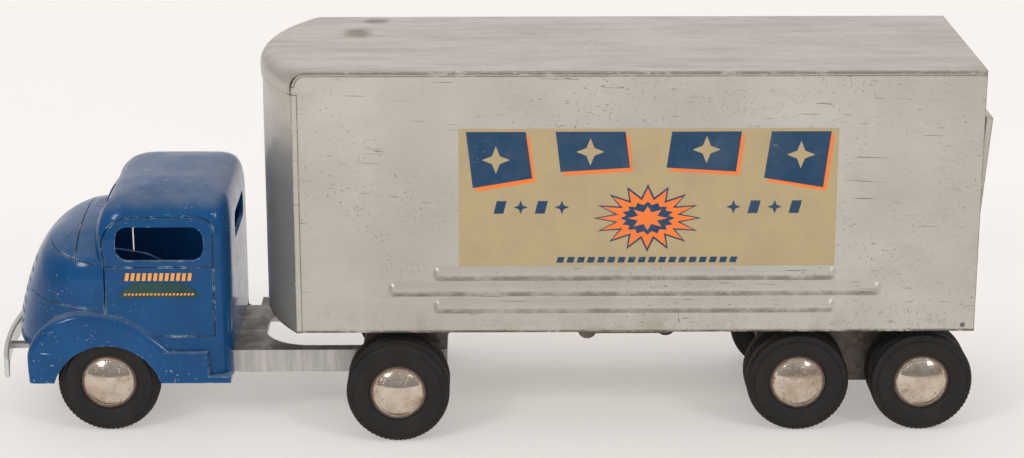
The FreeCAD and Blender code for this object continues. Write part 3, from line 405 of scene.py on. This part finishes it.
def printed(name, color, wear=0.5):
    """Transfer ink: nearly flat, a little faded, with hairline wear."""
    s = Shader(name)
    s.fixed(Specular_IOR_Level=0.25, Coat_Weight=0.05, Coat_Roughness=0.25)
    cloud = s.noise(40.0, 6.0, 0.65)
    faded = tuple(0.82 * c + 0.03 for c in color)
    ink = s.blend(s.step(cloud, 0.35, 0.75), color, faded)
    hairs = s.scratches(820.0, 0.735, 6.0)
    chips = s.calc("MULTIPLY", s.step(s.cells(190.0), 0.11, 0.05), s.step(s.noise(45.0), 0.56, 0.66))
    bare = s.calc("MULTIPLY", s.calc("MAXIMUM", hairs, chips), wear)
    s.bump(s.noise(800.0, 3.0), 0.0001, 0.25)
    return s.finish(s.blend(bare, ink, (0.26, 0.235, 0.19)), s.scaled(cloud, 0.28, 0.5))


BLUE = cab_paint()
SILVER = van_paint("van_silver_paint", True)
RIDGE = van_paint("van_rib_paint", False)
CASTING = cast_metal("bare_cast_aluminium", (0.60, 0.58, 0.55), (0.13, 0.115, 0.10), 0.25)
POLISHED = bumper_polish()
STEEL = dull_steel()
RUBBER = tyre_rubber()
PLATING = hubcap_plate()
SLOT_MATERIALS = {
    "cab_paint": BLUE, "van_paint": SILVER, "bare_aluminium": CASTING, "polished_aluminium": POLISHED,
    "bare_steel": STEEL, "tyre_rubber": RUBBER, "hubcap_plate": PLATING}


def dress_cad():
    """Every CAD node takes its slot's material."""
    for row in frame["record"]["subparts"]:
        thing = NODES[row["node"]]
        thing.data.materials.clear()
        thing.data.materials.append(SLOT_MATERIALS[row["material_slot"]])


# ---------------------------------------------------------------- mesh helpers

def new_piece(name, mesh, material, body, matrix=None):
    """Links a mesh as a piece that rides on a CAD body."""
    piece = bpy.data.objects.new(name, mesh)
    bpy.context.scene.collection.objects.link(piece)
    if not mesh.materials:
        mesh.materials.append(material)
    if matrix is not None:
        piece.matrix_world = matrix
    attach(piece, body)
    return piece


def close_mesh(mesh, merge):
    """Joins points nearer than merge, turns the faces outward and shades them smooth."""
    work = bmesh.new()
    work.from_mesh(mesh)
    bmesh.ops.remove_doubles(work, verts=work.verts, dist=merge)
    bmesh.ops.recalc_face_normals(work, faces=work.faces)
    work.to_mesh(mesh)
    work.free()
    mesh.shade_smooth()


def lathe(name, rows, steps):
    """A closed surface of revolution about Y. rows(step) gives the (radius, y) points of one section."""
    mesh = bpy.data.meshes.new(name)
    verts, faces = [], []
    count = len(rows(0))
    for step in range(steps):
        angle = 2 * math.pi * step / steps
        for radius, y in rows(step):
            verts.append((radius * math.cos(angle), y, radius * math.sin(angle)))
    for step in range(steps):
        after = (step + 1) % steps
        for i in range(count):
            j = (i + 1) % count
            faces.append((step * count + i, step * count + j, after * count + j, after * count + i))
    mesh.from_pydata(verts, [], faces)
    close_mesh(mesh, MERGE)
    return mesh


# ---------------------------------------------------------------- wheels

TYRE_RADIUS = 31.75
TYRE_WIDTH = 16.0
BLOCKS = 64
STEPS_PER_BLOCK = 4
SHOULDER_NOTCH = 0.65
TYRE_BORE = 17.0
# The crest's height in the hubcap's own profile. The piece is set back by as much, to meet its node's face.
CAP_RISE = 1.8
CAP_STEPS = 72


def tyre_profile(step):
    """Tyre section in metres: a flat wall with a raised lip, notched shoulders and a ribbed tread."""
    notch = SHOULDER_NOTCH if step % STEPS_PER_BLOCK < 2 else 0.0
    late = SHOULDER_NOTCH if (step + 2) % STEPS_PER_BLOCK < 2 else 0.0
    wall = [(TYRE_BORE, -2.9), (18.0, -1.9), (19.6, -1.0), (21.8, -0.40), (24.0, -0.12), (26.2, -0.02),
            (26.8, -0.10), (26.95, -0.30), (27.05, -0.95)]
    shoulder = [
        (27.9, -1.10 - 0.7 * notch), (28.5, -1.25 - 0.7 * notch), (28.7, -1.30),
        (29.3, -1.45 - 0.7 * late), (30.2 - 0.4 * late, -1.95 - 0.6 * late), (30.5, -2.10),
        (31.1 - 0.8 * notch, -2.75 - 0.2 * notch), (31.5 - notch, -3.5),
        (TYRE_RADIUS - 0.1 - notch, -4.2), (31.5 - 0.5 * notch, -4.6)]
    tread = [(30.7, -4.75), (30.7, -5.25), (TYRE_RADIUS, -5.35), (TYRE_RADIUS, -7.2), (30.8, -7.3)]
    near = wall + shoulder + tread
    far = [(radius, -TYRE_WIDTH - y) for radius, y in reversed(near)]
    bore = [(TYRE_BORE, -11.0), (TYRE_BORE, -5.0)]
    return [(radius * MM, y * MM) for radius, y in near + far + bore]


def cap_profile(_step):
    """Domed hubcap with a rolled rim, in metres."""
    edge, dome, seat = 16.0, 15.3, -3.4
    depth = CAP_RISE - seat
    radius = (edge ** 2 + depth ** 2) / (2 * depth)
    points = []
    count = 12
    for i in range(count + 1):
        across = dome * i / count
        points.append((across, CAP_RISE - radius + math.sqrt(radius ** 2 - across ** 2)))
    points += [(15.75, -2.85), (edge, -3.25), (15.9, -3.48), (15.2, -3.5), (15.0, -4.5), (14.0, -4.5)]
    points += [(14.0, -3.6), (10.0, -0.6), (0.0, 0.8)]
    return [(max(r, 1e-4) * MM, y * MM) for r, y in points]


def outward(node, side):
    """Matrix that puts a wheel piece at its node's outer face, with its own +Y pointing outward."""
    low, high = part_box(node)
    middle = (low + high) / 2
    face = high.y if side == "right" else low.y
    turn = Matrix.Rotation(0.0 if side == "right" else math.pi, 4, "Z")
    return Matrix.Translation((middle.x, face, middle.z)) @ turn


def build_wheels():
    """Detailed tyres and hubcaps in place of the plain CAD ones."""
    tyre_mesh = lathe("tyre_tread_mesh", tyre_profile, BLOCKS * STEPS_PER_BLOCK)
    cap_mesh = lathe("hubcap_dome_mesh", cap_profile, CAP_STEPS)
    for axle in ("front", "drive", "bogie_front", "bogie_rear"):
        for side in ("left", "right"):
            body = f"{axle}_{side}_wheel"
            names = ["tyre"] if axle == "front" else ["outer_tyre", "inner_tyre"]
            for name in names:
                node = f"{axle}_{side}_{name}"
                matrix = outward(node, side)
                piece = new_piece(f"{node}_tread", tyre_mesh, RUBBER, body, matrix)
                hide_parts(node)
            node = f"{axle}_{side}_hubcap"
            matrix = outward(node, side)
            crest = Matrix.Translation((0, -CAP_RISE * MM, 0))
            piece = new_piece(f"{node}_dome", cap_mesh, PLATING, body, matrix @ crest)
            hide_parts(node)


# ---------------------------------------------------------------- pressed shapes of the side sheets

SIDE_Y = 78.5 * MM
DOOR_Y = 68.1 * MM
# Height of each rib's middle, and its ends behind the side sheet's front edge, in mm.
RIBS = ((106.0, 86.5, 328.0), (96.0, 59.0, 356.0), (85.0, 86.5, 328.0))


def edge_path(panel):
    """Stations (x, z) along a side sheet's top edge and round its front corner, with the way outward."""
    low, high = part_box(panel)
    radius = 8.6 * MM
    inset = 0.2 * MM
    rail = high.z - inset
    path = [((high.x, rail), (0.0, 1.0))]
    for i in range(40):
        path.append(((high.x + (low.x + radius - high.x) * (i + 1) / 40, rail), (0.0, 1.0)))
    for i in range(1, 11):
        turn = 0.5 * math.pi * i / 10
        out = (-math.sin(turn), math.cos(turn))
        path.append(((low.x + radius + out[0] * (radius - inset), rail - radius + out[1] * radius), out))
    return path


def swept(name, rings, material, body):
    """A closed strip through a list of rings of points."""
    mesh = bpy.data.meshes.new(name)
    size = len(rings[0])
    faces = [tuple(range(size)), tuple(reversed(range((len(rings) - 1) * size, len(rings) * size)))]
    for i in range(len(rings) - 1):
        for j in range(size):
            k = (j + 1) % size
            faces.append((i * size + j, i * size + k, (i + 1) * size + k, (i + 1) * size + j))
    mesh.from_pydata([point for ring in rings for point in ring], [], faces)
    close_mesh(mesh, 0.0)
    return new_piece(name, mesh, material, body)


def folded_edge(side, sign):
    """The narrow rolled bead where a side sheet is folded over under the roof."""
    wall = sign * SIDE_Y
    wide, proud, count = 2.1 * MM, 0.42 * MM, 7
    rings = []
    for (x, z), (out_x, out_z) in edge_path(f"{side}_side_panel"):
        ring = []
        for i in range(count):
            turn = math.pi * i / (count - 1)
            down = wide * (0.5 - 0.5 * math.cos(turn))
            ring.append((x - out_x * down, wall + sign * proud * math.sin(turn), z - out_z * down))
        ring.append((x - out_x * wide * 0.5, wall - sign * 0.2 * MM, z - out_z * wide * 0.5))
        rings.append(ring)
    swept(f"{side}_folded_edge", rings, SILVER, "trailer")


def rib_beads(side, sign):
    """Soft pressed ridges over the side sheet's three plain ribs, fading out at both ends."""
    low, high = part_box(f"{side}_side_panel")
    half, proud, sunk, fade, count = 5.1 * MM, 2.0 * MM, 0.15 * MM, 5.0 * MM, 17
    for number, (height, front, rear) in enumerate(RIBS, 1):
        start, end = low.x + front * MM - 0.7 * fade, low.x + rear * MM + 0.7 * fade
        steps = 96
        rings = []
        for i in range(steps + 1):
            x = start + (end - start) * 0.5 * (1 - math.cos(math.pi * i / steps))
            near = min(1.0, (x - start) / fade, (end - x) / fade)
            level = near * near * (3 - 2 * near)
            ring = []
            for j in range(count):
                across = 2.0 * j / (count - 1) - 1.0
                rise = (proud + sunk) * level * (1 - across * across) ** 1.5 - sunk
                ring.append((x, sign * (SIDE_Y + rise), height * MM + across * half))
            ring.append((x, sign * (SIDE_Y - 2 * sunk), height * MM))
            rings.append(ring)
        swept(f"{side}_rib_bead_{number}", rings, RIDGE, "trailer")


# ---------------------------------------------------------------- printed panels

TAN = printed("transfer_tan", (0.400, 0.315, 0.172))
NAVY = printed("transfer_navy", (0.008, 0.044, 0.100))
ORANGE = printed("transfer_orange", (0.80, 0.185, 0.030))
BADGE_GREEN = printed("transfer_dark_green", (0.010, 0.050, 0.048))
BADGE_ORANGE = printed("transfer_amber", (0.75, 0.33, 0.07))
INK = 0.04 * MM
# The sign's ends behind the side sheet's front edge, and its heights, in mm.
SIGN_FRONT, SIGN_REAR = 100.0, 329.0
SIGN_BOTTOM, SIGN_TOP = 110.0, 197.2
# Each block's middle from the sign's middle, its width, how far its two sides drop, and its lean, in mm.
SIGN_BLOCKS = (
    (-92.0, 36.0, 35.0, 29.0, 4.0), (-35.0, 42.0, 25.0, 22.5, 3.0),
    (35.0, 42.0, 22.5, 25.0, -3.0), (92.0, 36.0, 29.0, 35.0, -4.0))
# Layers of the sunburst: name, half width and half height in mm, waist, points and ink.
SUNBURST = (
    ("edge", 33.0, 21.5, 0.62, 16, NAVY), ("rays", 30.0, 19.0, 0.60, 16, ORANGE),
    ("disc", 16.5, 10.5, 0.80, 16, NAVY), ("core", 12.0, 7.6, 0.52, 8, ORANGE))


def flat_print(name, outlines, layer, side_y, sign, material, body):
    """Thin printed shapes on a side sheet. Outlines are lists of (x, z) in metres, layers stack outward."""
    mesh = bpy.data.meshes.new(name)
    work = bmesh.new()
    y = side_y + sign * INK * (layer + 1)
    for points in outlines:
        verts = [work.verts.new((x, y, z)) for x, z in points]
        work.faces.new(verts)
    bmesh.ops.recalc_face_normals(work, faces=work.faces)
    for face in work.faces:
        if face.normal.y * sign < 0:
            face.normal_flip()
    made = bmesh.ops.extrude_face_region(work, geom=work.faces[:])
    inner = [item for item in made["geom"] if isinstance(item, bmesh.types.BMVert)]
    bmesh.ops.translate(work, verts=inner, vec=(0, -sign * INK * 0.8, 0))
    bmesh.ops.recalc_face_normals(work, faces=work.faces)
    bmesh.ops.triangulate(work, faces=work.faces)
    work.to_mesh(mesh)
    work.free()
    return new_piece(name, mesh, material, body)


def star(cx, cz, radius, inner, points):
    """A star's outline."""
    out = []
    for i in range(points * 2):
        reach = radius if i % 2 == 0 else inner
        angle = math.pi * i / points
        out.append((cx + reach * math.sin(angle), cz + reach * math.cos(angle)))
    return out


def lozenge(cx, cz, width, height, lean):
    """A leaning four-sided block."""
    half, tall = width / 2, height / 2
    return [(cx - half - lean, cz - tall), (cx + half - lean, cz - tall), (cx + half + lean, cz + tall),
            (cx - half + lean, cz + tall)]


def banner(cx, width, top, drop_near, drop_far, lean):
    """A bold sign block: level top, slanted foot and leaning ends."""
    half = width / 2
    return [(cx - half, top), (cx - half + lean, top - drop_near), (cx + half + lean, top - drop_far),
            (cx + half, top)]


def moved(points, dx, dz):
    return [(x + dx, z + dz) for x, z in points]


def van_art(side, sign):
    """A made-up sign: a tan panel with bold navy blocks on orange shadows, a sunburst and rules."""
    low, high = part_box(f"{side}_side_panel")
    skin = sign * SIDE_Y
    left, right = low.x + SIGN_FRONT * MM, low.x + SIGN_REAR * MM
    bottom, top = SIGN_BOTTOM * MM, SIGN_TOP * MM
    middle = 0.5 * (left + right)
    panel = [(left, bottom), (right, bottom), (right, top), (left, top)]
    flat_print(f"{side}_sign_panel", [panel], 0, skin, sign, TAN, "trailer")
    crown = top - 2.0 * MM
    blocks = []
    marks = []
    for x, wide, near, far, lean in SIGN_BLOCKS:
        centre = middle + x * MM
        blocks.append(banner(centre, wide * MM, crown, near * MM, far * MM, lean * MM))
        marks.append(star(centre, crown - 0.5 * near * MM, 8.5 * MM, 3.4 * MM, 4))
    shadows = [moved(points, 2.0 * MM, -2.2 * MM) for points in blocks]
    flat_print(f"{side}_sign_shadows", shadows, 1, skin, sign, ORANGE, "trailer")
    flat_print(f"{side}_sign_blocks", blocks, 2, skin, sign, NAVY, "trailer")
    flat_print(f"{side}_sign_block_marks", marks, 3, skin, sign, TAN, "trailer")
    heart = bottom + 31 * MM
    for layer, (part, wide, tall, waist, points, ink) in enumerate(SUNBURST, 1):
        ring = [(middle + x * wide * MM, heart + z * tall * MM) for x, z in star(0, 0, 1.0, waist, points)]
        flat_print(f"{side}_sign_burst_{part}", [ring], layer, skin, sign, ink, "trailer")
    rules = []
    for direction in (-1, 1):
        for step in range(4):
            x = middle + direction * (52 + 12.5 * step) * MM
            z = bottom + 38 * MM
            if step % 2:
                rules.append(lozenge(x, z, 6.0 * MM, 8.0 * MM, 1.0 * MM))
            else:
                rules.append(star(x, z, 4.4 * MM, 1.7 * MM, 4))
    for step in range(18):
        x = middle + (step - 8.5) * 6.2 * MM
        rules.append(lozenge(x, bottom + 4.6 * MM, 4.2 * MM, 3.6 * MM, 0.5 * MM))
    flat_print(f"{side}_sign_rules", rules, 1, skin, sign, NAVY, "trailer")


def badge_row(middle, height, count, pitch, wide, tall, lean):
    """A row of small leaning blocks, centred, in metres from values in mm."""
    row = []
    for i in range(count):
        x = middle + (i - 0.5 * (count - 1)) * pitch * MM
        row.append(lozenge(x, height, wide * MM, tall * MM, lean * MM))
    return row


def door_badge(side, sign):
    """A small badge on the door: an amber bar of blocks over a dark green ribbon."""
    door_x = centre_of("front_axle").x + 33.5 * MM
    skin = sign * DOOR_Y
    bar = badge_row(door_x, 0.1010, 12, 3.5, 2.2, 5.0, 0.4)
    ribbon = [(-25, 0.0875), (25, 0.0875), (22, 0.0925), (14, 0.0975), (-14, 0.0975), (-22, 0.0925)]
    ribbon = [(door_x + x * MM, z) for x, z in ribbon]
    wave = badge_row(door_x, 0.0898, 19, 2.3, 1.3, 1.3, 0.3)
    flat_print(f"{side}_badge_bar", bar, 0, skin, sign, BADGE_ORANGE, "tractor")
    flat_print(f"{side}_badge_ribbon", [ribbon], 0, skin, sign, BADGE_GREEN, "tractor")
    flat_print(f"{side}_badge_wave", wave, 1, skin, sign, BADGE_ORANGE, "tractor")


# ---------------------------------------------------------------- stage

WARM_WHITE = (1.0, 0.975, 0.95)
PAPER_ROUGHNESS = 0.6
# Name, place, point aimed at, width and depth, and power in watts. Places and sizes are in metres.
SOFT_BOXES = (
    ("key_overhead", (0.0, 0.0, 2.0), (0.0, 0.0, 0.0), (3.0, 1.8), 3),
    ("key_left", (-1.35, -1.75, 1.45), (-0.1, 0.0, 0.05), (0.6, 0.5), 15),
    ("key_right", (1.45, -1.60, 1.45), (0.1, 0.0, 0.05), (0.6, 0.5), 11),
    ("fill_front", (0.0, -2.7, 0.62), (0.0, 0.0, 0.0), (3.4, 1.0), 29),
    ("backdrop_wash", (0.0, 1.3, 2.4), (0.0, 3.2, 0.4), (4.0, 1.2), 12))
# The camera, fitted to the photo: focal length in mm, place in metres and turns in radians.
LENS = 89.53
CAMERA_PLACE = (0.0017, -1.5595, 0.580)
LOOK_DOWN, LOOK_ASIDE = 0.2923, -0.0099
BACK_LIGHT_PLACE = (0.0, 1.0, 0.50)
BACK_LIGHT_STRENGTH = 4.2
BACK_LIGHT_SPREAD = math.radians(60.0)


def staged(name, mesh, material):
    thing = bpy.data.objects.new(name, mesh)
    bpy.context.scene.collection.objects.link(thing)
    mesh.materials.append(material)
    return thing


def floor_and_backdrop():
    """A pale floor that curves up into a backdrop, its colour painted darker in front and lighter towards the
    back as painted shade and light. It casts no shadow.
    """
    s = Shader("studio_paper")
    s.fixed(Specular_IOR_Level=0.25)
    near = s.blend(s.noise(3.0, 3.0), (0.620, 0.598, 0.582), (0.650, 0.628, 0.610))
    # Painted light and shade: the paper's colour is darker near the front and lighter towards the back.
    color = s.blend(s.step(s.part(1), -0.30, 0.25), near, (0.800, 0.775, 0.755))
    paper = s.finish(color, PAPER_ROUGHNESS)
    mesh = bpy.data.meshes.new("studio_sweep")
    half, front, back, bend, top = 6.0, -4.0, 2.6, 1.2, 6.0
    profile = [(front, 0.0)]
    for i in range(17):
        angle = 0.5 * math.pi * i / 16
        profile.append((back + bend * math.sin(angle), bend - bend * math.cos(angle)))
    profile.append((back + bend, top))
    verts = [(x, y, z) for y, z in profile for x in (-half, half)]
    faces = [(2 * i, 2 * i + 1, 2 * i + 3, 2 * i + 2) for i in range(len(profile) - 1)]
    mesh.from_pydata(verts, [], faces)
    mesh.shade_smooth()
    staged("studio_sweep", mesh, paper).visible_shadow = False


def lamp(name, data, place, aim):
    """Hangs a light at a place, pointing at aim."""
    data.color = WARM_WHITE
    thing = bpy.data.objects.new(name, data)
    bpy.context.scene.collection.objects.link(thing)
    thing.location = place
    thing.rotation_euler = (Vector(aim) - Vector(place)).to_track_quat("-Z", "Y").to_euler()
    return thing


def soft_box(name, place, aim, size, power):
    data = bpy.data.lights.new(name, "AREA")
    data.shape = "RECTANGLE"
    data.size, data.size_y = size
    data.energy = power
    return lamp(name, data, place, aim)


def back_light():
    """A soft light from far behind that has no falloff, casts no shadow and shows in no reflection."""
    data = bpy.data.lights.new("fill_back", "SUN")
    data.use_shadow = False
    data.energy = BACK_LIGHT_STRENGTH
    data.angle = BACK_LIGHT_SPREAD
    lamp("fill_back", data, BACK_LIGHT_PLACE, (0.0, 0.0, 0.0)).visible_glossy = False


def sky():
    """A dim cool room that gets brighter upward."""
    world = bpy.data.worlds.new("studio")
    bpy.context.scene.world = world
    world.use_nodes = True
    tree = world.node_tree
    coords = tree.nodes.new("ShaderNodeTexCoord")
    split = tree.nodes.new("ShaderNodeSeparateXYZ")
    ramp = tree.nodes.new("ShaderNodeMapRange")
    for name, value in (("From Min", -0.05), ("From Max", 0.75), ("To Min", 0.27), ("To Max", 0.52)):
        ramp.inputs[name].default_value = value
    tree.links.new(coords.outputs["Generated"], split.inputs[0])
    tree.links.new(split.outputs["Z"], ramp.inputs["Value"])
    background = tree.nodes["Background"]
    background.inputs["Color"].default_value = (0.97, 0.975, 1.0, 1.0)
    tree.links.new(ramp.outputs[0], background.inputs["Strength"])


def lights():
    """Soft boxes overhead, in front and on the backdrop, a distant light behind, and the sky."""
    for settings in SOFT_BOXES:
        box = soft_box(*settings)
        box.visible_glossy = box.name != "fill_front"
    back_light()
    sky()


def camera():
    """The viewpoint: just right of the kingpin, 1.56 m out and 0.58 m up, looking a little down."""
    data = bpy.data.cameras.new("view")
    data.sensor_width = 36.0
    data.lens = LENS
    thing = bpy.data.objects.new("view", data)
    bpy.context.scene.collection.objects.link(thing)
    thing.location = CAMERA_PLACE
    thing.rotation_euler = (math.radians(90.0) - LOOK_DOWN, 0.0, LOOK_ASIDE)
    bpy.context.scene.camera = thing


camera()
dress_cad()
build_wheels()
for side_name, side_sign in (("left", -1), ("right", 1)):
    folded_edge(side_name, side_sign)
    rib_beads(side_name, side_sign)
    van_art(side_name, side_sign)
    door_badge(side_name, side_sign)
floor_and_backdrop()
lights()
bpy.context.scene.view_settings.view_transform = "Standard"
